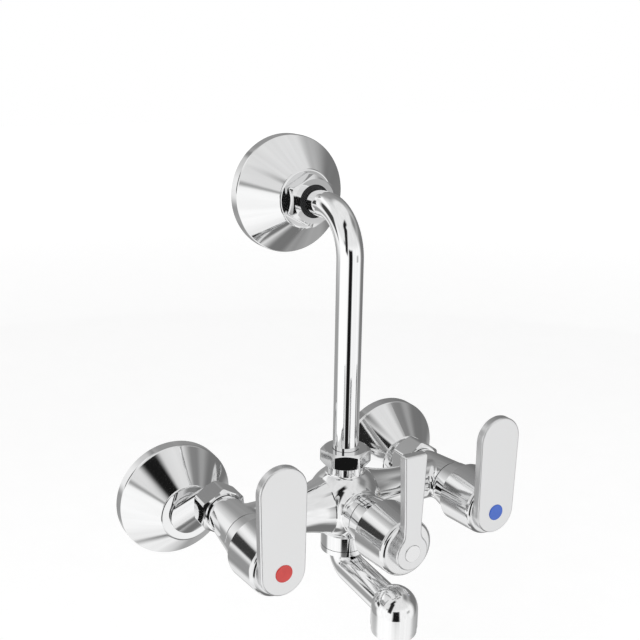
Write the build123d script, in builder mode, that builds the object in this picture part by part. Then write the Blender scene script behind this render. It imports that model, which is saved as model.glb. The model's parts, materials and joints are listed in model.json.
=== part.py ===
from build123d import *
import os
from math import cos, radians, sqrt, tan

os.makedirs("parts", exist_ok=True)

# The finished wall is the plane Y = 0 and -Y points to the user. The origin lies on the wall,
# midway between the two water inlets. Every size is in millimetres.
# A distance along an axis that leaves the wall is counted from the wall, towards the user.

# Layout
inlet_pitch = 150.0  # between the two inlets in the wall
valve_pitch = 132.0  # between the axes of the two side valves
body_rise = 12.0  # the body's axis above the inlets
body_reach = 74.0  # from the wall to the axis of the arms, the ball and the bend pipe
shower_height = 175.7  # the overhead outlet above the inlets

# Clearances
thread_gap = 0.05  # radial, between two threads that are drawn as plain cylinders
running_gap = 0.05  # radial, between a shaft and the bore it turns in
film_gap = 0.02  # between the two lapped ceramic faces
loose_gap = 0.3  # round pieces that pass each other without touching
turning_gap = 0.6  # between a bonnet and the lever hub that turns in front of it
overcut = 1.0  # how far a cut runs past the surface that it opens
same_place = 0.01  # two places this near to each other count as one

# Pipe threads, as the radius over their crests
half_inch_thread = 10.48
thread_in_wall = 14.0  # length that reaches behind the finished wall
water_bore = 6.0

# Pressed wall flange, used three times
flange_radius = 34.0
flange_rim = 7.0
flange_depth = 26.5
flange_nose = 16.5
flange_wall = 1.2
flange_rim_round = 2.2
flange_nose_round = 1.6

# Cranked connecting leg with its union
leg_neck = 11.3
leg_clear_of_flange = 2.0
union_thread_length = 9.0
union_nut_flats = 24.0
union_nut_length = 14.5
union_lip = 3.5
union_collar = 2.5
union_washer = 2.0
nipple_radius = 8.0
nipple_depth = 5.0
nipple_bore = 5.5
nut_to_body = 0.5
hexagon_chamfer = 0.6  # how far the chamfer's circle lies inside the flats
hexagon_round = 2.0  # between two flats

# Body casting
ball_radius = 21.5
arm_root = 16.0
arm_radius = 11.0
arm_flare_end = 42.0
barrel_tail = 17.0  # from the arm's axis back to the barrel's inlet face
barrel_back_radius = 10.2
barrel_front_radius = 13.2
seat_behind_arm = 8.0  # from the arm's axis back to the valve seat
cross_bore = 5.0
joint_fillet = 1.5
arm_fillet = 4.0
diverter_forward = 14.4  # the middle valve stands this much nearer to the user
top_neck = 11.0
top_neck_height = 35.1
lower_neck = 13.0
lower_neck_end = -14.0
outlet_bore = 6.5
channel_bore = 3.5
outlet_wall = 2.0  # between the middle valve's chamber and the upper outlet

# Quarter-turn headwork, counted from its seat towards the user
seal_height = 2.5
seal_bore = 5.0
disc_radius = 8.0
disc_height = 3.5
port_circle = 4.6
port_width = 3.0
port_angle = 64.0
divider_angle = 30.0  # each of the diverter's three ports
divider_sweep = 120.0  # its turning disc's pocket, which joins two of them
drive_width = 4.0
drive_depth = 1.5
drive_gap = 0.15
outlet_height = 2.7
foot_height = 1.2
skirt_wall = 0.75
skirt_start = 1.2
window_width = 6.0
head_length = 20.0  # from the seat to the barrel's front face
head_collar = 11.8
head_collar_height = 1.6
head_flats = 20.0
head_hex_height = 4.4
bonnet_thread = 9.8
bonnet_thread_length = 7.5
gland_radius = 7.5
gland_length = 4.5
spindle_radius = 4.5
ring_section = 0.8
ring_floor = 2.85
first_ring = 18.0
ring_step = 5.0
ring_groove = 1.8
ring_count = 2
clip_thickness = 0.8
clip_radius = 6.2
clip_floor = 3.7
clip_opening = 70.0
clip_gap = 0.1  # between the clip and the gland behind it
clip_to_spline = 1.0
spline_radius = 4.0
spline_depth = 0.4
spline_teeth = 20
spline_gap = 0.6
spline_length = 10.2
screw_radius = 2.0
screw_length = 14.5
screw_room = 1.0  # empty thread past the screw's end

# Bonnet
bonnet_back_radius = 13.4
bonnet_front_radius = 15.2
bonnet_length = 11.5
bonnet_wall = 1.3
bonnet_web = 2.0
bonnet_round = 0.8

# Levers
hub_length = 23.5
hub_back_radius = 17.2
hub_front_radius = 15.4
hub_wall = 2.3
hub_web = 6.0
hub_round = 3.0
boss_radius = 7.0
blade_thickness = 4.6
blade_edge = 1.0
blade_tip_radius = 12.9
blade_foot_radius = 12.2
blade_top = 67.8  # the top of a side lever above the inlets
diverter_blade_top = 66.0
diverter_tip_half = 6.8
diverter_waist_half = 5.2
diverter_waist_height = 18.0  # above the middle valve's axis
diverter_foot_radius = 9.5
diverter_corner = 1.4
diverter_blend = 7.0
cap_radius = 4.6
cap_thickness = 2.0
cap_proud = 0.4
cap_round = 0.3
screw_head_radius = 4.2
screw_head_height = 2.2
socket_flats = 2.5
socket_depth = 1.4

# Bend pipe with its nuts
pipe_radius = 7.2
pipe_wall = 1.0
bend_radius = 25.0
pipe_nut_flats = 25.0
pipe_nut_length = 8.7
pipe_lip = 1.6
pipe_collar = 1.5
pipe_washer = 1.5
gland_nut_flats = 26.0
gland_nut_length = 9.0
gland_mouth = 9.3
gland_mouth_depth = 3.0
gland_flange = 1.5
gland_nose = 1.8
pipe_insertion = 17.0

# Swivel spout and aerator
spigot_radius = 9.0
spigot_length = 13.0
spout_collar = 3.0
spout_tube = 8.5
spout_bore = 5.8
spout_drop = 12.2  # from the lower neck to the tube's axis
spout_fall = 1.5  # how much lower the tube ends
spout_reach = 53.0  # from the ball's axis to the aerator's axis
spout_bend = 10.5
spout_screw_radius = 2.0
spout_dog_radius = 1.0
spout_screw_below_seat = 3.0
spout_screw_recess = 0.8
spout_groove = 1.3  # half its height
spout_groove_floor = 7.6
tip_radius = 12.5
tip_drop = 9.5
aerator_thread = 10.6
aerator_thread_length = 5.5
aerator_rim = 12.2
aerator_rim_height = 3.6
aerator_wall = 1.3
aerator_lip = 1.2
aerator_washer = 1.5
spigot_first_ring = 3.0
spigot_ring_step = 3.4
aerator_round = 0.6
spout_socket_flats = 2.0
insert_grid = 3.2
insert_hole = 2.2
insert_holes = 4  # in each row and in each column
insert_height = 6.0

# Places that follow from the sizes above
barrel_back = body_reach - barrel_tail
nut_front = barrel_back - nut_to_body
nut_back = nut_front - union_nut_length
leg_end = nut_front - union_lip - union_collar - union_washer
crank_start = flange_depth + leg_clear_of_flange
crank_end = leg_end - union_thread_length
side_seat = body_reach - seat_behind_arm
middle_seat = side_seat + diverter_forward
turning_disc_start = seal_height + disc_height + film_gap
turning_disc_end = seal_height + 2 * disc_height
foot_start = turning_disc_end + outlet_height
foot_end = foot_start + foot_height
chamber_end = foot_end + loose_gap
hex_start = head_length + head_collar_height
hex_end = hex_start + head_hex_height
bonnet_thread_end = hex_end + bonnet_thread_length
gland_end = bonnet_thread_end + gland_length
clip_start = gland_end + clip_gap
spline_start = clip_start + clip_thickness + clip_to_spline
spindle_end = spline_start + spline_length
bonnet_start = head_length + loose_gap
bonnet_end = bonnet_start + bonnet_length
hub_start = bonnet_end + turning_gap
hub_end = hub_start + hub_length
blade_end = hub_end + blade_thickness
screw_end = hub_end - screw_length
chamber_radius = disc_radius + loose_gap / 2
skirt_radius = chamber_radius + skirt_wall
cavity_radius = skirt_radius + loose_gap


def out_of_wall(x, z):
    """A plane through an axis that leaves the wall: its X runs to the user and its Y runs up."""
    return Plane(origin=(x, 0, z), x_dir=(0, -1, 0), z_dir=(-1, 0, 0))


def facing_user(x, distance, z):
    """A plane parallel to the wall at a distance from it: its X runs right and its Y runs up."""
    return Plane(origin=(x, -distance, z), x_dir=(1, 0, 0), z_dir=(0, -1, 0))


def upright(distance):
    """A plane through a vertical axis at a distance from the wall: its X runs up."""
    return Plane(origin=(0, -distance, 0), x_dir=(0, 0, 1), z_dir=(0, 1, 0))


def turn(plane, *outline, mode=Mode.ADD):
    """Turn a half section about the plane's X axis, from points of (distance along it, radius)."""
    with BuildSketch(plane) as section:
        with BuildLine():
            Polyline(*outline, close=True)
        make_face()
    revolve(section.sketch, axis=Axis(plane.origin, plane.x_dir), mode=mode)


def rod(plane, start, end, radius, mode=Mode.ADD):
    """A plain cylinder along the plane's X axis."""
    turn(plane, (start, 0), (start, radius), (end, radius), (end, 0), mode=mode)


def ring(plane, start, end, inner, outer, mode=Mode.ADD):
    """A plain ring round the plane's X axis."""
    turn(plane, (start, inner), (start, outer), (end, outer), (end, inner), mode=mode)


def hexagon(plane, start, end, flats, face_radius, rotation=0):
    """A rounded hexagon bar along the plane's X axis, chamfered at 30 degrees at both ends."""
    corner = flats / 2 / cos(radians(30))
    slope = (corner - face_radius) * tan(radians(30))
    across = Plane(origin=plane.origin, x_dir=plane.y_dir, z_dir=plane.x_dir)
    with BuildSketch(across.offset(start)) as outline:
        RegularPolygon(flats / 2, 6, major_radius=False, rotation=rotation)
        fillet(outline.vertices(), radius=hexagon_round)
    extrude(outline.sketch, amount=end - start)
    turn(
        plane,
        (start, 0),
        (start, face_radius),
        (start + slope, corner),
        (end - slope, corner),
        (end, face_radius),
        (end, 0),
        mode=Mode.INTERSECT,
    )


def keep(piece, label):
    """Label a finished piece and write it."""
    piece.part.label = label
    export_step(piece.part, f"parts/{label}.step")


# Wall flanges: a turned cup with a rounded rim and nose, shelled from the back
for x, z, place in (
    (-inlet_pitch / 2, 0, "left"),
    (inlet_pitch / 2, 0, "right"),
    (0, shower_height, "top"),
):
    axis = out_of_wall(x, z)
    with BuildPart() as wall_flange:
        turn(
            axis,
            (0, 0),
            (0, flange_radius),
            (flange_rim, flange_radius),
            (flange_depth, flange_nose),
            (flange_depth, 0),
        )
        circles = wall_flange.edges().filter_by(GeomType.CIRCLE).sort_by(Axis.Y)
        fillet(circles[0], radius=flange_nose_round)
        circles = wall_flange.edges().filter_by(GeomType.CIRCLE).sort_by(Axis.Y)
        fillet(circles[-2], radius=flange_rim_round)
        back = wall_flange.faces().filter_by(GeomType.PLANE).sort_by(Axis.Y)[-1]
        offset(amount=-flange_wall, openings=back)
        rod(axis, 0, flange_depth, leg_neck + loose_gap, mode=Mode.SUBTRACT)
    keep(wall_flange, f"wall_flange_{place}")


# Inlets: leg, washer, nipple and union nut at each side
for side, place in ((-1, "left"), (1, "right")):
    wall_axis = out_of_wall(side * inlet_pitch / 2, 0)
    valve_axis = out_of_wall(side * valve_pitch / 2, body_rise)
    crank_back = facing_user(side * inlet_pitch / 2, crank_start, 0)
    crank_front = facing_user(side * valve_pitch / 2, crank_end, body_rise)

    with BuildPart() as connecting_leg:
        rod(wall_axis, -thread_in_wall, 0, half_inch_thread)
        rod(wall_axis, 0, crank_start, leg_neck)
        with BuildSketch(crank_back):
            Circle(leg_neck)
        with BuildSketch(crank_front):
            Circle(half_inch_thread)
        loft()
        rod(valve_axis, crank_end, leg_end, half_inch_thread)
        rod(wall_axis, -thread_in_wall, crank_start, water_bore, mode=Mode.SUBTRACT)
        with BuildSketch(crank_back):
            Circle(water_bore)
        with BuildSketch(crank_front):
            Circle(water_bore)
        loft(mode=Mode.SUBTRACT)
        rod(valve_axis, crank_end, leg_end, water_bore, mode=Mode.SUBTRACT)
    keep(connecting_leg, f"connecting_leg_{place}")

    with BuildPart() as leg_washer:
        ring(valve_axis, leg_end, leg_end + union_washer, water_bore, half_inch_thread - loose_gap)
    keep(leg_washer, f"leg_washer_{place}")

    nipple_back = leg_end + union_washer
    with BuildPart() as inlet_nipple:
        rod(valve_axis, nipple_back, nipple_back + union_collar, half_inch_thread - loose_gap)
        rod(valve_axis, nipple_back, barrel_back + nipple_depth, nipple_radius)
        rod(valve_axis, nipple_back, barrel_back + nipple_depth, nipple_bore, mode=Mode.SUBTRACT)
    keep(inlet_nipple, f"inlet_nipple_{place}")

    with BuildPart() as union_nut:
        face_radius = union_nut_flats / 2 - hexagon_chamfer
        hexagon(valve_axis, nut_back, nut_front, union_nut_flats, face_radius)
        rod(valve_axis, nut_back, nut_front, nipple_radius + loose_gap, mode=Mode.SUBTRACT)
        rod(
            valve_axis,
            nut_back,
            nut_front - union_lip,
            half_inch_thread + thread_gap,
            mode=Mode.SUBTRACT,
        )
    keep(union_nut, f"union_nut_{place}")


# Body casting: ball, arms, three valve barrels and two necks, with every waterway bored
ball_axis = upright(body_reach)
ball_centre = (0, -body_reach, body_rise)
arm_plane = Plane(origin=ball_centre, x_dir=(1, 0, 0), z_dir=(0, -1, 0))
arm_root_place = sqrt(ball_radius**2 - arm_root**2)
pipe_seat = top_neck_height + pipe_nut_length - pipe_lip - pipe_collar - pipe_washer + loose_gap


def on_ball(edge):
    """Whether a circle is where a rod or an arm grows out of the ball."""
    reach = (edge.position_at(0) - Vector(*ball_centre)).length
    return abs(reach - ball_radius) < same_place and edge.radius < ball_radius - joint_fillet


with BuildPart() as mixer_body:
    with Locations(ball_centre):
        Sphere(ball_radius)
    for side in (-1, 1):
        with BuildSketch(arm_plane):
            with BuildLine():
                flare_start = (side * arm_root_place, arm_root)
                flare_end = (side * arm_flare_end, arm_radius)
                TangentArc(flare_end, flare_start, tangent=(-side, 0))
                Polyline(flare_start, (side * arm_root_place, 0), (side * valve_pitch / 2, 0))
                Polyline((side * valve_pitch / 2, 0), (side * valve_pitch / 2, arm_radius), flare_end)
            make_face()
        revolve(axis=Axis(ball_centre, (1, 0, 0)))
        turn(
            out_of_wall(side * valve_pitch / 2, body_rise),
            (barrel_back, 0),
            (barrel_back, barrel_back_radius),
            (side_seat + head_length, barrel_front_radius),
            (side_seat + head_length, 0),
        )
    turn(
        out_of_wall(0, body_rise),
        (body_reach, 0),
        (body_reach, barrel_back_radius),
        (middle_seat + head_length, barrel_front_radius),
        (middle_seat + head_length, 0),
    )
    rod(ball_axis, lower_neck_end, body_rise, lower_neck)
    rod(ball_axis, body_rise, top_neck_height, top_neck)
    crossings = mixer_body.edges().filter_by(GeomType.BSPLINE)
    fillet(crossings, radius=arm_fillet)
    roots = mixer_body.edges().filter_by(GeomType.CIRCLE).filter_by(on_ball)
    fillet(roots, radius=joint_fillet)
    rod(ball_axis, top_neck_height, pipe_seat, half_inch_thread)

    # Valve seats and inlets
    for x, seat in (
        (-valve_pitch / 2, side_seat),
        (valve_pitch / 2, side_seat),
        (0, middle_seat),
    ):
        valve_axis = out_of_wall(x, body_rise)
        chamber = seat + chamber_end
        rod(valve_axis, seat, seat + head_length, cavity_radius, mode=Mode.SUBTRACT)
        rod(valve_axis, chamber, seat + head_length, half_inch_thread, mode=Mode.SUBTRACT)
        if x:
            nipple_hole = nipple_radius + thread_gap
            rod(valve_axis, barrel_back, barrel_back + nipple_depth, nipple_hole, mode=Mode.SUBTRACT)
            rod(valve_axis, barrel_back, seat, nipple_bore, mode=Mode.SUBTRACT)
        else:
            rod(valve_axis, body_reach, seat, nipple_bore, mode=Mode.SUBTRACT)

    # The cross bore joins the two side valves behind the middle one
    rod(arm_plane, -valve_pitch / 2, valve_pitch / 2, cross_bore, mode=Mode.SUBTRACT)

    # The upper and lower outlets, each with a slanting channel from the middle valve's chamber
    upper_stop = body_rise + cavity_radius + outlet_wall
    lower_stop = lower_neck_end + spigot_length + loose_gap
    rod(ball_axis, upper_stop, pipe_seat, outlet_bore, mode=Mode.SUBTRACT)
    rod(ball_axis, lower_neck_end, lower_stop, spigot_radius, mode=Mode.SUBTRACT)
    chamber_middle = middle_seat + (turning_disc_end + foot_start) / 2
    for stop, lift in ((upper_stop, 1), (lower_stop, -1)):
        start = Vector(0, -body_reach, stop + lift * channel_bore)
        end = Vector(0, -chamber_middle, body_rise + lift * cavity_radius / 2)
        slant = Plane(origin=start, x_dir=end - start, z_dir=(1, 0, 0))
        rod(slant, 0, (end - start).length, channel_bore, mode=Mode.SUBTRACT)

    # The retaining screw's hole at the back of the lower neck
    screw_height = lower_neck_end + spout_screw_below_seat
    screw_axis = Plane(origin=(0, -body_reach, screw_height), x_dir=(0, 1, 0), z_dir=(1, 0, 0))
    rod(screw_axis, 0, lower_neck, spout_screw_radius, mode=Mode.SUBTRACT)
keep(mixer_body, "mixer_body")


def crosswise(plane, distance):
    """A plane square to another plane's X axis, at a distance along it: its X is that plane's Y."""
    across = Plane(origin=plane.origin, x_dir=plane.y_dir, z_dir=plane.x_dir)
    return across.offset(distance)


def ported_disc(plane, start, end, radius, centres, angle):
    """A lapped ceramic disc with kidney ports, each centred at an angle from the disc's top."""
    with BuildSketch(crosswise(plane, start)) as face:
        Circle(radius)
        for centre in centres:
            port = CenterArc((0, 0), port_circle, centre - angle / 2, angle)
            SlotArc(port, port_width, mode=Mode.SUBTRACT)
    extrude(face.sketch, amount=end - start)


def level_bar(plane, start, end, width, length, mode=Mode.ADD):
    """A level bar across the axis."""
    with BuildSketch(crosswise(plane, start)) as face:
        Rectangle(width, length)
    extrude(face.sketch, amount=end - start, mode=mode)


def valve(x, seat, place, fixed_ports, fixed_angle, turning_ports, turning_angle):
    """The whole quarter-turn valve of one barrel, from its seat seal to its bonnet."""
    axis = Plane(origin=(x, -seat, body_rise), x_dir=(0, -1, 0), z_dir=(-1, 0, 0))

    with BuildPart() as seat_seal:
        ring(axis, 0, seal_height, seal_bore, disc_radius)
    keep(seat_seal, f"{place}_seat_seal")

    with BuildPart() as fixed_disc:
        disc_end = seal_height + disc_height
        ported_disc(axis, seal_height, disc_end, disc_radius, fixed_ports, fixed_angle)
    keep(fixed_disc, f"{place}_fixed_disc")

    turning_radius = disc_radius - loose_gap / 2
    with BuildPart() as turning_disc:
        ported_disc(
            axis,
            turning_disc_start,
            turning_disc_end,
            turning_radius,
            turning_ports,
            turning_angle,
        )
        level_bar(
            axis,
            turning_disc_end - drive_depth,
            turning_disc_end,
            drive_width + 2 * drive_gap,
            2 * disc_radius,
            mode=Mode.SUBTRACT,
        )
    keep(turning_disc, f"{place}_turning_disc")

    with BuildPart() as headwork:
        hexagon(axis, hex_start, hex_end, head_flats, head_flats / 2 - hexagon_chamfer)
        rod(axis, skirt_start, head_length, skirt_radius)
        rod(axis, chamber_end, head_length, half_inch_thread - thread_gap)
        rod(axis, head_length, hex_start, head_collar)
        rod(axis, hex_end, bonnet_thread_end, bonnet_thread)
        rod(axis, bonnet_thread_end, gland_end, gland_radius)
        rod(axis, skirt_start, chamber_end, chamber_radius, mode=Mode.SUBTRACT)
        rod(axis, chamber_end, gland_end, spindle_radius + running_gap, mode=Mode.SUBTRACT)
        level_bar(
            axis,
            turning_disc_end,
            foot_start,
            window_width,
            2 * (skirt_radius + overcut),
            mode=Mode.SUBTRACT,
        )
    keep(headwork, f"{place}_headwork")

    foot_radius = disc_radius - loose_gap
    lug_length = 2 * sqrt(foot_radius**2 - (drive_width / 2) ** 2)
    ring_places = [first_ring + index * ring_step for index in range(ring_count)]
    with BuildPart() as spindle:
        level_bar(axis, turning_disc_end - drive_depth, foot_start, drive_width, lug_length)
        rod(axis, foot_start, foot_end, foot_radius)
        rod(axis, foot_end, spline_start, spindle_radius)
        with BuildSketch(crosswise(axis, spline_start)) as spline:
            Circle(spline_radius)
            with PolarLocations(spline_radius, spline_teeth):
                Rectangle(2 * spline_depth, spline_gap, mode=Mode.SUBTRACT)
        extrude(spline.sketch, amount=spline_length)
        for place_along in ring_places:
            ring(
                axis,
                place_along - ring_groove / 2,
                place_along + ring_groove / 2,
                ring_floor,
                spindle_radius + overcut,
                mode=Mode.SUBTRACT,
            )
        ring(
            axis,
            clip_start,
            clip_start + clip_thickness,
            clip_floor,
            spindle_radius + overcut,
            mode=Mode.SUBTRACT,
        )
        rod(axis, screw_end - screw_room, spindle_end, screw_radius, mode=Mode.SUBTRACT)
    keep(spindle, f"{place}_spindle")

    with BuildPart() as spindle_rings:
        with BuildSketch(axis) as section:
            for place_along in ring_places:
                with Locations((place_along, ring_floor + ring_section)):
                    Circle(ring_section)
        revolve(section.sketch, axis=Axis(axis.origin, axis.x_dir))
    keep(spindle_rings, f"{place}_spindle_rings")

    with BuildPart() as spindle_clip:
        with BuildSketch(crosswise(axis, clip_start)) as face:
            Circle(clip_radius)
            Circle(clip_floor + thread_gap, mode=Mode.SUBTRACT)
            mouth = clip_radius * tan(radians(clip_opening / 2))
            corners = ((0, 0), (-clip_radius, mouth), (-clip_radius, -mouth))
            Polygon(*corners, align=None, mode=Mode.SUBTRACT)
        extrude(face.sketch, amount=clip_thickness)
    keep(spindle_clip, f"{place}_spindle_clip")

    web_start = bonnet_end - bonnet_web
    thread_hole = bonnet_thread + thread_gap
    with BuildPart() as bonnet:
        turn(
            axis,
            (bonnet_start, bonnet_back_radius),
            (bonnet_end, bonnet_front_radius),
            (bonnet_end, thread_hole),
            (web_start, thread_hole),
            (web_start, bonnet_back_radius - bonnet_wall),
            (bonnet_start, bonnet_back_radius - bonnet_wall),
        )
        rims = bonnet.edges().filter_by(GeomType.CIRCLE).group_by(Axis.Y)
        outer_rims = [rims[end].sort_by(SortBy.RADIUS)[-1] for end in (0, -1)]
        fillet(outer_rims, radius=bonnet_round)
    keep(bonnet, f"{place}_bonnet")


def side_blade():
    """The front outline of a side lever: a paddle that narrows a little towards the hub."""
    with BuildSketch() as outline:
        with BuildLine():
            tip_height = blade_top - body_rise - blade_tip_radius
            tip = CenterArc((0, tip_height), blade_tip_radius, 0, 180)
            foot = CenterArc((0, 0), blade_foot_radius, 180, 180)
            Line(tip @ 1, foot @ 0)
            Line(foot @ 1, tip @ 0)
        make_face()
    return outline.sketch


def diverter_blade():
    """The front outline of the middle lever: narrow, flat at the top, with a round foot."""
    top = diverter_blade_top - body_rise
    with BuildSketch() as outline:
        with BuildLine():
            Polyline(
                (-diverter_tip_half, top),
                (diverter_tip_half, top),
                (diverter_waist_half, diverter_waist_height),
                (diverter_waist_half, 0),
                (-diverter_waist_half, 0),
                (-diverter_waist_half, diverter_waist_height),
                close=True,
            )
        make_face()
        fillet(outline.vertices().group_by(Axis.Y)[-1], radius=diverter_corner)
        Circle(diverter_foot_radius)
        necks = outline.vertices().filter_by(lambda point: 0 < point.Y < diverter_foot_radius)
        fillet(necks, radius=diverter_blend)
    return outline.sketch


def lever_set(x, seat, place, blade):
    """A lever with its screw and index cap, all of which turn with the spindle."""
    axis = Plane(origin=(x, -seat, body_rise), x_dir=(0, -1, 0), z_dir=(-1, 0, 0))
    web_back = hub_end - hub_web
    boss_start = spline_start + loose_gap
    with BuildPart() as lever:
        turn(
            axis,
            (hub_start, 0),
            (hub_start, hub_back_radius),
            (hub_end, hub_front_radius),
            (hub_end, 0),
        )
        front_edge = lever.edges().filter_by(GeomType.CIRCLE).sort_by(Axis.Y)[0]
        fillet(front_edge, radius=hub_round)
        rod(axis, hub_start, web_back, hub_back_radius - hub_wall, mode=Mode.SUBTRACT)
        rod(axis, boss_start, web_back, boss_radius)
        with BuildSketch(facing_user(x, seat + hub_end, body_rise)) as outline:
            add(blade)
        extrude(outline.sketch, amount=blade_thickness)
        front_face = lever.faces().filter_by(GeomType.PLANE).sort_by(Axis.Y)[0]
        fillet(front_face.edges(), radius=blade_edge)
        rod(axis, hub_end, blade_end, cap_radius + thread_gap, mode=Mode.SUBTRACT)
        rod(axis, boss_start, spindle_end + loose_gap, spline_radius + thread_gap, mode=Mode.SUBTRACT)
        rod(axis, spindle_end, hub_end, screw_radius + loose_gap, mode=Mode.SUBTRACT)
    keep(lever, f"{place}_lever")

    with BuildPart() as lever_screw:
        rod(axis, screw_end, hub_end, screw_radius - thread_gap)
        rod(axis, hub_end, hub_end + screw_head_height, screw_head_radius)
        with BuildSketch(crosswise(axis, hub_end + screw_head_height - socket_depth)) as socket:
            RegularPolygon(socket_flats / 2, 6, major_radius=False)
        extrude(socket.sketch, amount=socket_depth, mode=Mode.SUBTRACT)
    keep(lever_screw, f"{place}_lever_screw")

    with BuildPart() as index_cap:
        rod(axis, blade_end - cap_thickness, blade_end + cap_proud, cap_radius)
        fillet(index_cap.edges().filter_by(GeomType.CIRCLE).sort_by(Axis.Y)[0], radius=cap_round)
    keep(index_cap, f"{place}_index_cap")


# The side valves have two ports; the diverter has one inlet port and two outlets
side_ports = (0, 180)
closed_ports = (90, 270)
valve(-valve_pitch / 2, side_seat, "left", closed_ports, port_angle, side_ports, port_angle)
valve(valve_pitch / 2, side_seat, "right", closed_ports, port_angle, side_ports, port_angle)
valve(0, middle_seat, "diverter", (0, 120, 240), divider_angle, (0,), divider_sweep)
lever_set(-valve_pitch / 2, side_seat, "left", side_blade())
lever_set(valve_pitch / 2, side_seat, "right", side_blade())
lever_set(0, middle_seat, "diverter", diverter_blade())


# Bend pipe to the overhead outlet, with its lower coupling
pipe_foot = pipe_seat + pipe_washer
pipe_nut_start = top_neck_height + loose_gap
pipe_nut_end = pipe_nut_start + pipe_nut_length
outlet_axis = out_of_wall(0, shower_height)
gland_nut_start = flange_depth + loose_gap
gland_nut_end = gland_nut_start + gland_nut_length
connector_end = gland_nut_end - gland_mouth_depth - gland_flange
pipe_end = connector_end - pipe_insertion

with BuildPart() as bend_pipe:
    with BuildLine():
        FilletPolyline(
            (0, -body_reach, pipe_foot),
            (0, -body_reach, shower_height),
            (0, -pipe_end, shower_height),
            radius=bend_radius,
        )
    with BuildSketch(Plane(origin=(0, -body_reach, pipe_foot), z_dir=(0, 0, 1))):
        Circle(pipe_radius)
        Circle(pipe_radius - pipe_wall, mode=Mode.SUBTRACT)
    sweep()
    pipe_bore = pipe_radius - pipe_wall
    ring(ball_axis, pipe_foot, pipe_foot + pipe_collar, pipe_bore, half_inch_thread - loose_gap)
keep(bend_pipe, "bend_pipe")

with BuildPart() as pipe_washer_ring:
    ring(ball_axis, pipe_seat, pipe_foot, outlet_bore, half_inch_thread - loose_gap)
keep(pipe_washer_ring, "pipe_washer")

with BuildPart() as pipe_nut:
    face_radius = pipe_nut_flats / 2 - hexagon_chamfer
    hexagon(ball_axis, pipe_nut_start, pipe_nut_end, pipe_nut_flats, face_radius, rotation=30)
    rod(ball_axis, pipe_nut_start, pipe_nut_end, pipe_radius + loose_gap, mode=Mode.SUBTRACT)
    rod(
        ball_axis,
        pipe_nut_start,
        pipe_nut_end - pipe_lip,
        half_inch_thread + thread_gap,
        mode=Mode.SUBTRACT,
    )
keep(pipe_nut, "pipe_nut")

with BuildPart() as wall_connector:
    rod(outlet_axis, -thread_in_wall, 0, half_inch_thread)
    rod(outlet_axis, 0, flange_depth, leg_neck)
    rod(outlet_axis, flange_depth, connector_end, half_inch_thread)
    rod(outlet_axis, -thread_in_wall, connector_end, water_bore, mode=Mode.SUBTRACT)
    rod(outlet_axis, pipe_end - loose_gap, connector_end, pipe_radius + running_gap, mode=Mode.SUBTRACT)
keep(wall_connector, "wall_connector")

with BuildPart() as pipe_gland:
    gland_bore = pipe_radius + running_gap
    gland_step = connector_end + gland_flange
    ring(outlet_axis, connector_end, gland_step, gland_bore, half_inch_thread - loose_gap)
    ring(outlet_axis, gland_step, gland_step + gland_nose, gland_bore, gland_mouth - thread_gap)
keep(pipe_gland, "pipe_gland")

with BuildPart() as gland_nut:
    face_radius = gland_nut_flats / 2 - hexagon_chamfer
    hexagon(outlet_axis, gland_nut_start, gland_nut_end, gland_nut_flats, face_radius)
    rod(outlet_axis, gland_nut_start, gland_nut_end, gland_mouth, mode=Mode.SUBTRACT)
    rod(
        outlet_axis,
        gland_nut_start,
        gland_nut_end - gland_mouth_depth,
        half_inch_thread + thread_gap,
        mode=Mode.SUBTRACT,
    )
keep(gland_nut, "gland_nut")


# Swivel spout: a spigot in the lower neck, a bent tube and a round tip that holds the aerator
spout_top = lower_neck_end - loose_gap
spout_start = spout_top - spout_collar / 2
spigot_end = lower_neck_end + spigot_length
tube_height = lower_neck_end - spout_drop
tip_height = tube_height - spout_fall
tip_distance = body_reach + spout_reach
tip_axis = upright(tip_distance)
tip_end = tip_height - tip_drop
spigot_outer = spigot_radius - running_gap
top_ring = spigot_end - spigot_first_ring
spigot_rings = [top_ring - index * spigot_ring_step for index in range(ring_count)]

with BuildPart() as spout:
    with BuildLine() as route:
        FilletPolyline(
            (0, -body_reach, spout_start),
            (0, -body_reach, tube_height),
            (0, -tip_distance, tip_height),
            radius=spout_bend,
        )
    spout_mouth = Plane(origin=(0, -body_reach, spout_start), z_dir=(0, 0, -1))
    with BuildSketch(spout_mouth):
        Circle(spout_tube)
    sweep()
    with BuildSketch(tip_axis) as tip_section:
        with BuildLine():
            Polyline((tip_height, 0), (tip_end, 0), (tip_end, tip_radius), (tip_height, tip_radius))
            TangentArc((tip_height, tip_radius), (tip_height + tip_radius, 0), tangent=(1, 0))
            Line((tip_height + tip_radius, 0), (tip_height, 0))
        make_face()
    revolve(tip_section.sketch, axis=Axis(tip_axis.origin, tip_axis.x_dir))
    rod(ball_axis, spout_top - spout_collar, spout_top, lower_neck)
    rod(ball_axis, spout_top, spigot_end, spigot_outer)
    with BuildSketch(spout_mouth) as bore:
        Circle(spout_bore)
    sweep(bore.sketch, path=route.wires()[0], mode=Mode.SUBTRACT)
    rod(ball_axis, spout_start, spigot_end, spout_bore, mode=Mode.SUBTRACT)
    socket_top = tip_end + aerator_thread_length + aerator_washer
    rod(tip_axis, tip_end, socket_top, aerator_thread, mode=Mode.SUBTRACT)
    for height in spigot_rings:
        ring(
            ball_axis,
            height - ring_groove / 2,
            height + ring_groove / 2,
            spigot_outer - 2 * ring_section,
            spigot_radius + overcut,
            mode=Mode.SUBTRACT,
        )
    ring(
        ball_axis,
        screw_height - spout_groove,
        screw_height + spout_groove,
        spout_groove_floor,
        spigot_radius + overcut,
        mode=Mode.SUBTRACT,
    )
keep(spout, "spout")

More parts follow.
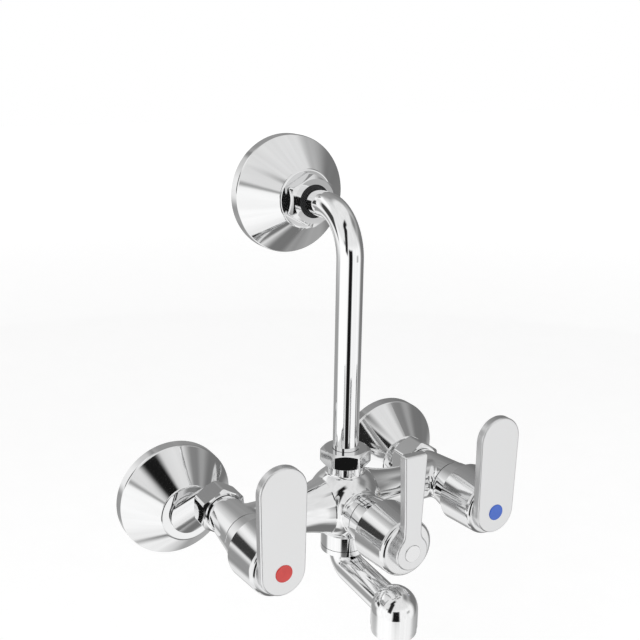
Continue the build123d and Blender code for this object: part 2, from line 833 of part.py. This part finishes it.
with BuildPart() as spout_rings:
    with BuildSketch(ball_axis) as section:
        for height in spigot_rings:
            with Locations((height, spigot_outer - ring_section)):
                Circle(ring_section)
    revolve(section.sketch, axis=Axis(ball_axis.origin, ball_axis.x_dir))
keep(spout_rings, "spout_rings")

with BuildPart() as spout_screw:
    screw_tip = spout_groove_floor + loose_gap
    screw_head = lower_neck - spout_screw_recess
    rod(screw_axis, screw_tip, spigot_radius, spout_dog_radius)
    rod(screw_axis, spigot_radius, screw_head, spout_screw_radius - thread_gap)
    with BuildSketch(crosswise(screw_axis, screw_head - socket_depth)) as socket:
        RegularPolygon(spout_socket_flats / 2, 6, major_radius=False)
    extrude(socket.sketch, amount=socket_depth, mode=Mode.SUBTRACT)
keep(spout_screw, "spout_screw")

rim_end = tip_end - aerator_rim_height
with BuildPart() as aerator_housing:
    rod(tip_axis, rim_end, tip_end, aerator_rim)
    thread_top = tip_end + aerator_thread_length
    bore_radius = aerator_thread - aerator_wall
    rod(tip_axis, tip_end, thread_top, aerator_thread - thread_gap)
    rod(tip_axis, rim_end + aerator_lip, thread_top, bore_radius, mode=Mode.SUBTRACT)
    rod(tip_axis, rim_end, tip_end, bore_radius - aerator_lip, mode=Mode.SUBTRACT)
    rim_edges = aerator_housing.edges().filter_by(GeomType.CIRCLE).group_by(Axis.Z)[0]
    fillet(rim_edges.sort_by(SortBy.RADIUS)[-1], radius=aerator_round)
keep(aerator_housing, "aerator_housing")

with BuildPart() as aerator_insert:
    insert_start = rim_end + aerator_lip
    rod(tip_axis, insert_start, insert_start + insert_height, bore_radius - thread_gap)
    with BuildSketch(Plane(origin=(0, -tip_distance, insert_start), z_dir=(0, 0, 1))) as holes:
        with GridLocations(insert_grid, insert_grid, insert_holes, insert_holes):
            Rectangle(insert_hole, insert_hole)
    extrude(holes.sketch, amount=insert_height, mode=Mode.SUBTRACT)
keep(aerator_insert, "aerator_insert")

with BuildPart() as aerator_washer_ring:
    washer_bore = bore_radius - aerator_lip
    ring(tip_axis, thread_top, socket_top, washer_bore, aerator_thread - thread_gap)
keep(aerator_washer_ring, "aerator_washer")
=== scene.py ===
# %% [markdown]
# A wall-mounted mixer tap, finished and lit in Blender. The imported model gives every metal, rubber
# and ceramic piece at its real size and place, so this script adds the finishes, the camera and the
# studio. Everything is in metres: the wall is the plane Y = 0 and -Y points to the user.

import json
import math

import bmesh
import bpy
from mathutils import Matrix, Vector

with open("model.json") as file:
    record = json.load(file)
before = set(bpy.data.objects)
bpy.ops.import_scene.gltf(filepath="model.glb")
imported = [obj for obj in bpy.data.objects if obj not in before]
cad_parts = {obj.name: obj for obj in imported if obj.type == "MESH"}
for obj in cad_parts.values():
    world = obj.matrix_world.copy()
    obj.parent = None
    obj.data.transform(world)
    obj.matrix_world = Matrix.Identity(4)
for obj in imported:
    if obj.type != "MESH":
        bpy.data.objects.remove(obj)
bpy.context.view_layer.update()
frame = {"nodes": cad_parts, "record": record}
bpy.context.scene.view_settings.view_transform = "Standard"
nodes = frame["nodes"]

# %% [markdown]
# The camera stands in front of the tap, to the left and a little above, as the photographer did.
# Its place was worked out once from the centres of the three wall flanges. A camera could also be
# aimed with a tracking constraint, but a plain matrix says exactly where it looks and never moves.

# %% Camera
heading = math.radians(30.0)
height_angle = math.radians(16.5)
roll = math.radians(0.86)
distance = 0.6
shift_right, shift_up = 0.02312, 0.09422  # they put the tap where the picture has it
towards_camera = Vector(
    (
        -math.sin(heading) * math.cos(height_angle),
        -math.cos(heading) * math.cos(height_angle),
        math.sin(height_angle),
    )
)
level = Vector((math.cos(heading), -math.sin(heading), 0))
upward = towards_camera.cross(level)
picture_right = level * math.cos(roll) + upward * math.sin(roll)
picture_up = upward * math.cos(roll) - level * math.sin(roll)

camera_data = bpy.data.cameras.new("camera")
camera_data.sensor_width = 36.0
camera_data.lens = 53.26
camera_data.clip_start = 0.01
camera = bpy.data.objects.new("camera", camera_data)
bpy.context.scene.collection.objects.link(camera)
turned = Matrix((picture_right, picture_up, towards_camera)).transposed()
camera_place = towards_camera * distance + picture_right * shift_right + picture_up * shift_up
camera.matrix_world = Matrix.Translation(camera_place) @ turned.to_4x4()
bpy.context.scene.camera = camera
print("camera at", [round(v, 4) for v in camera_place])

# %% [markdown]
# Shader maths is easier to read as sums than as nodes. This small class holds one socket. Adding,
# multiplying or comparing two of them adds the Math or Vector Math node that does it, and `make`
# adds any other node. Nodes could also be placed by hand in the editor, but sums in a script can be
# read, changed and run again.

# %% A socket that can be calculated with
class Shade:
    """One socket of a shader node, together with the node tree that it is in."""

    def __init__(self, tree, socket=None):
        self.tree = tree
        self.socket = socket

    def make(self, kind, settings=None, inputs=None, output=0):
        """Add a node: first its settings, then the values or links of its sockets."""
        node = self.tree.nodes.new(kind)
        for name, value in (settings or {}).items():
            setattr(node, name, value)
        for name, value in (inputs or {}).items():
            if isinstance(value, Shade):
                self.tree.links.new(value.socket, node.inputs[name])
            else:
                node.inputs[name].default_value = value
        return Shade(self.tree, node.outputs[output] if node.outputs else None)

    def is_vector(self):
        return self.socket.type in ("VECTOR", "RGBA")

    def maths(self, operation, first, second):
        """A Math node, or a Vector Math node where either side is a vector or a colour."""
        sides = [first, second]
        if any(isinstance(side, Shade) and side.is_vector() for side in sides):
            spread = [(side,) * 3 if isinstance(side, (int, float)) else side for side in sides]
            return self.make(
                "ShaderNodeVectorMath", {"operation": operation}, dict(enumerate(spread))
            )
        return self.make("ShaderNodeMath", {"operation": operation}, dict(enumerate(sides)))

    def __add__(self, other):
        return self.maths("ADD", self, other)

    def __radd__(self, other):
        return self.maths("ADD", other, self)

    def __sub__(self, other):
        return self.maths("SUBTRACT", self, other)

    def __rsub__(self, other):
        return self.maths("SUBTRACT", other, self)

    def __mul__(self, other):
        return self.maths("MULTIPLY", self, other)

    def __rmul__(self, other):
        return self.maths("MULTIPLY", other, self)

    def __truediv__(self, other):
        return self.maths("DIVIDE", self, other)

    def __rtruediv__(self, other):
        return self.maths("DIVIDE", other, self)

    def __gt__(self, other):
        return self.maths("GREATER_THAN", self, other)

    def __lt__(self, other):
        return self.maths("LESS_THAN", self, other)

    def sine(self):
        return self.make("ShaderNodeMath", {"operation": "SINE"}, {0: self})

    def size(self):
        """The value without its sign."""
        return self.make("ShaderNodeMath", {"operation": "ABSOLUTE"}, {0: self})

    def clamp(self):
        """The value, held between 0 and 1."""
        return self.make("ShaderNodeClamp", {}, {"Value": self})

    def ramp(self, start, end):
        """Rises smoothly from 0 at start to 1 at end, also where end is the smaller."""
        return self.make(
            "ShaderNodeMapRange",
            {"interpolation_type": "SMOOTHSTEP"},
            {"Value": self, "From Min": start, "From Max": end},
        )

    def dot(self, other):
        """How far a vector reaches along another one."""
        sides = {0: self, 1: other}
        return self.make("ShaderNodeVectorMath", {"operation": "DOT_PRODUCT"}, sides, "Value")

    def parts(self):
        """The three components of a vector."""
        split = self.make("ShaderNodeSeparateXYZ", {}, {0: self})
        return [Shade(self.tree, split.socket.node.outputs[index]) for index in range(3)]

    def noise(self, scale, detail=2.0, roughness=0.5):
        """Smooth noise over a position: its patches are about 1 / scale wide."""
        return self.make(
            "ShaderNodeTexNoise",
            {},
            {"Vector": self, "Scale": scale, "Detail": detail, "Roughness": roughness},
        )

    def blend(self, low, high):
        """A colour that goes from low to high as this value goes from 0 to 1."""
        return self.make(
            "ShaderNodeMix",
            {"data_type": "RGBA"},
            {"Factor": self, 6: (*low, 1), 7: (*high, 1)},
            output=2,
        )


# %% [markdown]
# Each finish starts from one Principled shader. Values that are the same everywhere are set on its
# sockets, and only what changes over the surface is linked, so the finish can be baked later.

# %% Start a finish
def new_finish(name, **values):
    """A material with a Principled shader. Returns it, its shader node and its position vector."""
    material = bpy.data.materials.new(name)
    material.use_nodes = True
    tree = material.node_tree
    tree.nodes.clear()
    shader = tree.nodes.new("ShaderNodeBsdfPrincipled")
    output = tree.nodes.new("ShaderNodeOutputMaterial")
    tree.links.new(shader.outputs[0], output.inputs[0])
    for socket, value in values.items():
        shader.inputs[socket.replace("_", " ")].default_value = value
    place = Shade(tree).make("ShaderNodeTexCoord", output="Object")
    return material, shader, place


def feed(shader, socket, value):
    """Link a calculated value to one of the shader's sockets."""
    value.tree.links.new(value.socket, shader.inputs[socket])


def fed(shader, socket):
    """What is linked to one of the shader's sockets, to build on."""
    return Shade(shader.id_data, shader.inputs[socket].links[0].from_socket)


def emboss(shader, height, strength, depth):
    """Raise the surface by a height between 0 and 1, times the depth in metres."""
    bump = {"Strength": strength, "Distance": depth, "Height": height}
    feed(shader, "Normal", height.make("ShaderNodeBump", {}, bump))


# %% [markdown]
# Chrome plate is a mirror with a slightly cool tint. What makes it look like metal and not like
# glass is that the mirror is never perfect: polishing leaves very faint waves in the form, and
# fingers and water leave patches that are a little duller. A flat grey with one roughness would be
# quicker, but noise at three sizes gives all of that.

# %% Chrome plate
cool_tint, plain_tint = (0.985, 0.99, 1.0), (1.0, 1.0, 0.995)
scratch_dullness = 0.01
wave_height = 0.00002


def chrome(name, brightness, dull_low, dull_high):
    """A chrome finish from its brightness and its lowest and highest dullness."""
    material, shader, place = new_finish(name, Metallic=1.0)
    smear = place.noise(38.0, 3.0, 0.55)
    fine = place.noise(900.0)
    dull = dull_low + smear * (dull_high - dull_low) + fine * scratch_dullness
    feed(shader, "Roughness", dull)
    cool, plain = ([brightness * part for part in tint] for tint in (cool_tint, plain_tint))
    feed(shader, "Base Color", smear.blend(cool, plain))
    emboss(shader, place.noise(55.0, 1.0), 0.35, wave_height)
    return material, shader, place


finishes = {}
for name, look in {
    "body_chrome": (0.86, 0.03, 0.07),
    "flange_chrome": (0.84, 0.03, 0.08),
    "pipe_chrome": (0.92, 0.03, 0.06),
    "bonnet_chrome": (0.86, 0.03, 0.07),
    "nut_chrome": (0.86, 0.03, 0.07),
    "spout_chrome": (0.88, 0.05, 0.10),
    "plain_cap": (0.80, 0.08, 0.16),
}.items():
    finishes[name] = chrome(name, *look)[0]
print("plain chrome finishes:", len(finishes))

# %% [markdown]
# Behind the wall the legs and the overhead connector end in a half-inch pipe thread, 14 threads to
# the inch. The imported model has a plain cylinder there, as a cut helix would cost thousands of
# faces. A bump draws it: the height rises with the distance along the thread plus the turn around
# it, so that its crests form one screw line, and plating is duller down in the grooves.

# %% Pipe threads behind the wall
thread_pitch = 0.001814  # 14 threads to the inch
thread_depth = 0.0009
thread_start, thread_end = 0.0005, 0.0128  # behind the wall's face
thread_root = 0.0095  # only what lies further out than this is thread
inlet_offset = 0.075  # from the middle to each inlet
outlet_height = 0.1757
above_inlets = 0.1  # only the outlet lies higher than this
groove_dullness = 0.25


def cut_thread(shader, place):
    """Draw the screw line and its duller grooves on the three stubs behind the wall."""
    across, along, height = place.parts()
    steps = across / inlet_offset
    side = steps.make("ShaderNodeMath", {"operation": "ROUND"}, {0: steps})
    off_axis = across - side * inlet_offset
    off_height = height - (height > above_inlets) * outlet_height
    turn = off_axis.make("ShaderNodeMath", {"operation": "ARCTAN2"}, {0: off_height, 1: off_axis})
    screw = along / thread_pitch + turn / (2 * math.pi)
    crest = screw.make("ShaderNodeMath", {"operation": "PINGPONG"}, {0: screw, 1: 0.5}) * 2.0
    outside = (off_axis * off_axis + off_height * off_height) > thread_root**2
    cut = (along > thread_start) * (along < thread_end) * outside
    groove = (1.0 - crest) * cut
    waves = fed(shader, "Normal")
    grooves = {"Distance": thread_depth, "Height": groove, "Normal": waves}
    feed(shader, "Normal", groove.make("ShaderNodeBump", {"invert": True}, grooves))
    feed(shader, "Roughness", fed(shader, "Roughness") + groove * groove_dullness)


leg_chrome, leg_shader, leg_place = chrome("leg_chrome", 0.80, 0.06, 0.14)
cut_thread(leg_shader, leg_place)
finishes["leg_chrome"] = leg_chrome
print("threads drawn every", round(thread_pitch * 1000, 3), "mm")

# %% [markdown]
# The levers are polished round the hub, but the flat blade that the hand holds is finished a little
# softer: a perfect mirror there would flash from white to black with every step of the viewer. The
# blade could be a finish of its own, but it is one piece with the hub, so its place picks it out:
# it is the part of the lever that is furthest from the wall.

# %% Softer blades on the levers
side_blade_back = -0.1219
middle_blade_forward = 0.0144  # the middle lever stands this much nearer to the user
middle_reach = 0.03  # only the middle lever lies nearer to the middle than this
blade_edge = 0.0003  # the change at the blade's back is twice as wide as this
blade_softness = 0.22


def soften_blades(shader, place):
    """Make the levers duller in front of the plane at the back of their blades."""
    across, along, _ = place.parts()
    in_the_middle = across.size() < middle_reach
    blade_back = side_blade_back - in_the_middle * middle_blade_forward
    blade = (blade_back - along).ramp(-blade_edge, blade_edge)
    feed(shader, "Roughness", fed(shader, "Roughness") + blade * blade_softness)


lever_chrome, lever_shader, lever_place = chrome("lever_chrome", 0.78, 0.06, 0.12)
soften_blades(lever_shader, lever_place)
finishes["lever_chrome"] = lever_chrome
print("blades softer by", blade_softness)

# %% [markdown]
# Bare brass shows inside the valves: it is yellow, turned on a lathe, and so it has fine rings
# round its axis. All three valve axes run along Y, so a wave in Y gives the rings on every one. The
# small screws of turned steel get the same rings in their own colour.

# %% Turned brass and steel
stain_share = 0.82  # a stain has this much of the clean metal's brightness
turned_dull_low, turned_dull_high = 0.22, 0.42
ring_height = 0.00004


def turned_metal(name, colour, groove):
    """Bare metal with lathe rings, each as wide as the groove."""
    material, shader, place = new_finish(name, Metallic=1.0)
    along = place.parts()[1]
    rings = (along * (2 * math.pi / groove)).sine() * 0.5 + 0.5
    stain = place.noise(160.0, 4.0)
    darker = [part * stain_share for part in colour]
    feed(shader, "Base Color", stain.blend(darker, colour))
    feed(shader, "Roughness", turned_dull_low + stain * (turned_dull_high - turned_dull_low))
    emboss(shader, rings, 0.4, ring_height)
    return material


finishes["bare_brass"] = turned_metal("bare_brass", (0.80, 0.60, 0.30), 0.0004)
finishes["screw_steel"] = turned_metal("screw_steel", (0.58, 0.58, 0.59), 0.0003)
print("metal finishes:", len(finishes))

# %% [markdown]
# Rubber, fibre, ceramic and plastic reflect little, so their colour does the work. Each gets its
# own grain: rubber a soft bloom, fibre a coarse fleck, lapped ceramic a nearly even sheen. One
# helper is enough, because they differ only in their colours, their dullness and how fine and deep
# the grain is. The red and blue caps have a thin clear coat over the colour.

# %% Rubber, fibre, ceramic and plastic
def grained(name, dark, light, scale, dull_low, dull_high, depth, **values):
    """A finish whose colour, dullness and height all follow one grain."""
    material, shader, place = new_finish(name, **values)
    grain = place.noise(scale, 5.0, 0.6)
    feed(shader, "Base Color", grain.blend(dark, light))
    feed(shader, "Roughness", dull_low + grain * (dull_high - dull_low))
    emboss(shader, grain, 0.5, depth)
    return material


for name, dark, light, scale, dull_low, dull_high, depth in (
    ("black_rubber", (0.012, 0.012, 0.013), (0.04, 0.04, 0.042), 700.0, 0.55, 0.8, 0.00003),
    ("fibre_washer", (0.22, 0.08, 0.05), (0.42, 0.2, 0.13), 1500.0, 0.7, 0.9, 0.00005),
    ("pale_ceramic", (0.84, 0.83, 0.79), (0.9, 0.89, 0.86), 400.0, 0.12, 0.2, 0.000005),
    ("dark_ceramic", (0.12, 0.12, 0.13), (0.19, 0.19, 0.2), 400.0, 0.12, 0.2, 0.000005),
    ("insert_plastic", (0.7, 0.7, 0.69), (0.8, 0.8, 0.79), 900.0, 0.4, 0.55, 0.00001),
):
    finishes[name] = grained(name, dark, light, scale, dull_low, dull_high, depth)
for name, dark, light in (
    ("red_cap", (0.5, 0.02, 0.02), (0.68, 0.05, 0.04)),
    ("blue_cap", (0.02, 0.09, 0.45), (0.04, 0.14, 0.62)),
):
    finishes[name] = grained(name, dark, light, 260.0, 0.16, 0.28, 0.00001, Coat_Weight=0.4)
print("finishes:", len(finishes))

# %% [markdown]
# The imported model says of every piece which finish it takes, by the name of its material slot. So
# the finishes have those names, and no piece has to be listed here.

# %% Give every piece its finish
used = set()
for subpart in frame["record"]["subparts"]:
    slot_name = subpart["material_slot"]
    for slot in nodes[subpart["node"]].material_slots:
        slot.material = finishes[slot_name]
    used.add(slot_name)
print("finishes in use:", len(used))

# %% [markdown]
# Chrome shows the room it stands in, so the studio is modelled as carefully as the tap. The world
# is white to look at. On what it only lights it is a little weaker, so that pale surfaces get their
# colour as it is written and don't burn out. One strength for both would leave either a grey
# background or a glaring floor, and a Light Path node tells the two kinds of rays apart.

# %% The white room
room_light = 0.72


def looked_at(start):
    """1 for rays from the camera, a mirror or through glass, and 0 for those that only light."""
    rays = start.make("ShaderNodeLightPath").socket.node.outputs
    seen, mirrored, through = (
        Shade(start.tree, rays[kind])
        for kind in ("Is Camera Ray", "Is Glossy Ray", "Is Transmission Ray")
    )
    return (seen + mirrored + through).clamp()


white = (1, 1, 1, 1)
world = bpy.data.worlds.new("white_room")
world.use_nodes = True
bpy.context.scene.world = world
world.node_tree.nodes.clear()
room = Shade(world.node_tree)
strength = room_light + looked_at(room) * (1.0 - room_light)
background = room.make("ShaderNodeBackground", {}, {"Color": white, "Strength": strength})
room.make("ShaderNodeOutputWorld", {}, {"Surface": background})
print("the room lights with", room_light)

# %% [markdown]
# A round white tent stands around the tap, as photographers use for shiny things. Only mirror rays
# see it, so it casts no shadow and hides nothing. It could be real cards on stands, but cards that
# near would be seen from other sides, and a tent whose light is drawn on it by direction gives soft
# edges for free.

# %% The tent
middle = (0, -0.07, 0.06)
tent_radius = 1.6
tent_mesh = bpy.data.meshes.new("tent")
ball = bmesh.new()
bmesh.ops.create_icosphere(ball, subdivisions=4, radius=tent_radius)
ball.to_mesh(tent_mesh)
ball.free()
tent = bpy.data.objects.new("tent", tent_mesh)
tent.location = middle
bpy.context.scene.collection.objects.link(tent)
tent.visible_camera = False
tent.visible_diffuse = False
tent.visible_shadow = False
tent.visible_transmission = False

tent_cloth = bpy.data.materials.new("tent_cloth")
tent_cloth.use_nodes = True
tent_cloth.node_tree.nodes.clear()
tent_mesh.materials.append(tent_cloth)
cloth = Shade(tent_cloth.node_tree)
where = cloth.make("ShaderNodeTexCoord", output="Object")
outward = cloth.make("ShaderNodeVectorMath", {"operation": "NORMALIZE"}, {0: where})
print("tent", 2 * tent_radius, "m across")

# %% [markdown]
# Grey and black cards pinned to the tent give the chrome its dark bands: without them it would look
# like paper. Each was placed by following a line of sight from the camera to a point on the tap and
# on along its reflection, and noting how bright the chrome is there. The front of the tap is at
# bearing 0, the right side at 90. A card can be turned, and a negative turn leans its top right.

# %% Pin the cards to the tent
widest = 88  # degrees: no card reaches further to a side than this


def pinned(below, bearing, height, width, tall, brightness, edge, turn):
    """Light with a soft-edged card over it. Its place, size, edges and turn are in degrees."""
    side, up, lean = (math.radians(angle) for angle in (bearing, height, turn))
    ahead = Vector((math.sin(side) * math.cos(up), -math.cos(side) * math.cos(up), math.sin(up)))
    across = Vector((math.cos(side), math.sin(side), 0))
    upright = ahead.cross(across)
    along = across * math.cos(lean) + upright * math.sin(lean)
    rise = upright * math.cos(lean) - across * math.sin(lean)
    cover = outward.dot(tuple(ahead)).ramp(0.0, 0.1)  # nothing on the far side of the tent
    for axis, span, fade in ((along, width, edge[0]), (rise, tall, edge[1])):
        outer = math.sin(math.radians(min((span + fade) / 2, widest)))
        inner = math.sin(math.radians(max((span - fade) / 2, 0)))
        cover = cover * outward.dot(tuple(axis)).size().ramp(outer, inner)
    return below + (brightness - below) * cover


cards = (
    # bearing, height, width, tall, brightness, (soft sides, soft top and foot), turn
    (-84, -22, 60, 62, 1.12, (20, 14), 0),  # a soft box: left sides of the pipe and two flanges
    (162, 14, 64, 100, 0.34, (34, 16), 8),  # grey, behind: tops of the body, spout and pipe
    (108, 0, 84, 84, 0.2, (26, 56), 6),  # grey, right: right sides of body, flanges and pipe
    (72, 43, 30, 22, 0.26, (18, 16), 0),  # grey: upper right of both lower flanges
    (125, -40, 60, 34, 0.42, (20, 12), 0),  # grey: lower right of the top flange
    (60, -80, 70, 30, 0.2, (30, 12), 0),  # dark, below: foot of the top flange, body's underside
    (-90, -75, 26, 12, 0.2, (8, 6), 0),  # dark, below: lower left of the top flange, left leg
    (-148, -24, 44, 30, 0.36, (14, 12), 0),  # grey, lower left: left edges of pipe and levers
    (-145, 36, 34, 12, 1.1, (14, 8), 0),  # a lamp: the bright band of the right bonnet
    (-167, 32, 12, 9, 0.26, (3, 3), 0),  # a grey flag: top facet of the left union nut
    (33, -3, 16, 9, 0.5, (8, 5), 0),  # a grey flag: the gland nut's face, the top flange's nose
    (-68, 16, 14, 6, 0.4, (4, 6), 0),  # a thin strip: the line across the top flange
    (-130, 13, 26, 24, 0.05, (6, 6), 0),  # a black flag: left edges of levers, left of the bend
    (-52, 27, 18, 49, 0.02, (5, 6), -14),  # a black column: the right flange's wedge
    (-46, 53, 30, 11, 0.01, (14, 5), 48),  # a black strip: the left flange's wedge
    (-25, -11, 30, 46, 0.01, (9, 5), 0),  # a black board: the pipe's line, its nut's front facet
)
ceiling_shade = 0.15  # the top of the tent is this much darker than its sides
light = 1.0 - outward.dot((0, 0, 1)).ramp(0.15, 0.4) * ceiling_shade
for card in cards:
    light = pinned(light, *card)
print("cards on the tent:", len(cards))

# %% [markdown]
# Real cloth hangs in soft folds, and a mirror shows them as faint streaks. Noise that is stretched
# upwards gives them. The cloth then glows by itself, which is simpler than lamps behind it.

# %% The tent's folds and its glow
fold_density = (7.0, 7.0, 2.5)  # across, along and up
fold_contrast = 0.28
folds = (outward * fold_density).noise(1.0, 3.0)
light = light * (1.0 - fold_contrast / 2 + folds * fold_contrast)
glow = cloth.make("ShaderNodeEmission", {}, {"Color": white, "Strength": light})
cloth.make("ShaderNodeOutputMaterial", {}, {"Surface": glow})
print("folds change the light by up to", fold_contrast / 2)

# %% [markdown]
# The floor is a plain pale sheet well below the spout. The white room would do as a background, but
# only a real surface catches the soft shadow under the tap. The chrome does not mirror the floor:
# mirror rays pass through it to the tent, which has its own light and dark below.

# %% The floor
floor_height = -0.32
floor_reach = 6.0
floor_mesh = bpy.data.meshes.new("floor")
sheet = bmesh.new()
bmesh.ops.create_grid(sheet, x_segments=1, y_segments=1, size=floor_reach)
bmesh.ops.translate(sheet, vec=(0, 0, floor_height), verts=sheet.verts)
sheet.to_mesh(floor_mesh)
sheet.free()
floor = bpy.data.objects.new("floor", floor_mesh)
bpy.context.scene.collection.objects.link(floor)
floor.visible_glossy = False
print("floor", -floor_height, "m below the inlets")

# %% [markdown]
# The lamps alone would leave the floor grey, and stronger ones would make its shadow heavy. So the
# paint glows a little where the camera looks at it, more so far away, where the lamps are weak.
# Near the tap it stays just under white, so that the soft shadow still shows.

# %% The floor's paint
glow_near, glow_more_far = 0.225, 0.155
glow_grows = (0.6, 4.0)  # it gets stronger between these distances from the middle
floor_paint, floor_shader, floor_place = new_finish("floor_paint", Roughness=0.9)
floor_mesh.materials.append(floor_paint)
floor_output = floor_shader.outputs[0].links[0].to_node
speck = floor_place.noise(30.0)
feed(floor_shader, "Base Color", speck.blend((0.9, 0.9, 0.9), (0.93, 0.93, 0.93)))
painted = Shade(floor_place.tree, floor_shader.outputs[0])
flat = floor_place * (1.0, 1.0, 0.0)
away = flat.make("ShaderNodeVectorMath", {"operation": "LENGTH"}, {0: flat}, "Value")
lift = glow_near + away.ramp(*glow_grows) * glow_more_far
glowing = painted.make("ShaderNodeEmission", {}, {"Color": white, "Strength": lift})
lifted = painted.make("ShaderNodeAddShader", {}, {0: painted, 1: glowing})
mixed = painted.make("ShaderNodeMixShader", {}, {0: looked_at(painted), 1: painted, 2: lifted})
painted.tree.links.new(mixed.socket, floor_output.inputs[0])
print("the floor glows with", glow_near, "to", glow_near + glow_more_far)

# %% [markdown]
# Two soft boxes light what is not metal: the coloured caps, the black gland and the floor, where
# they throw the soft shadow. They are area lamps, the nearest thing to a real soft box. The tent has
# its own light drawn on it, so metal does not mirror the lamps: a second bright square in the
# chrome would give the studio away.

# %% Soft lamps
def softbox(name, place, aim, size, power):
    """A rectangular lamp at a place in metres, turned to what it is aimed at."""
    lamp_data = bpy.data.lights.new(name, "AREA")
    lamp_data.shape = "RECTANGLE"
    lamp_data.size, lamp_data.size_y = size
    lamp_data.energy = power
    lamp = bpy.data.objects.new(name, lamp_data)
    lamp.location = place
    direction = Vector(aim) - Vector(place)
    lamp.rotation_euler = direction.to_track_quat("-Z", "Y").to_euler()
    lamp.visible_glossy = False
    bpy.context.scene.collection.objects.link(lamp)
    print(name, round(direction.length, 2), "m away")


softbox("key_upper_left", (-1.3, -1.1, 1.3), middle, (1.2, 1.0), 10.0)
softbox("fill_right", (1.0, -1.3, 0.7), middle, (0.9, 0.9), 4.0)
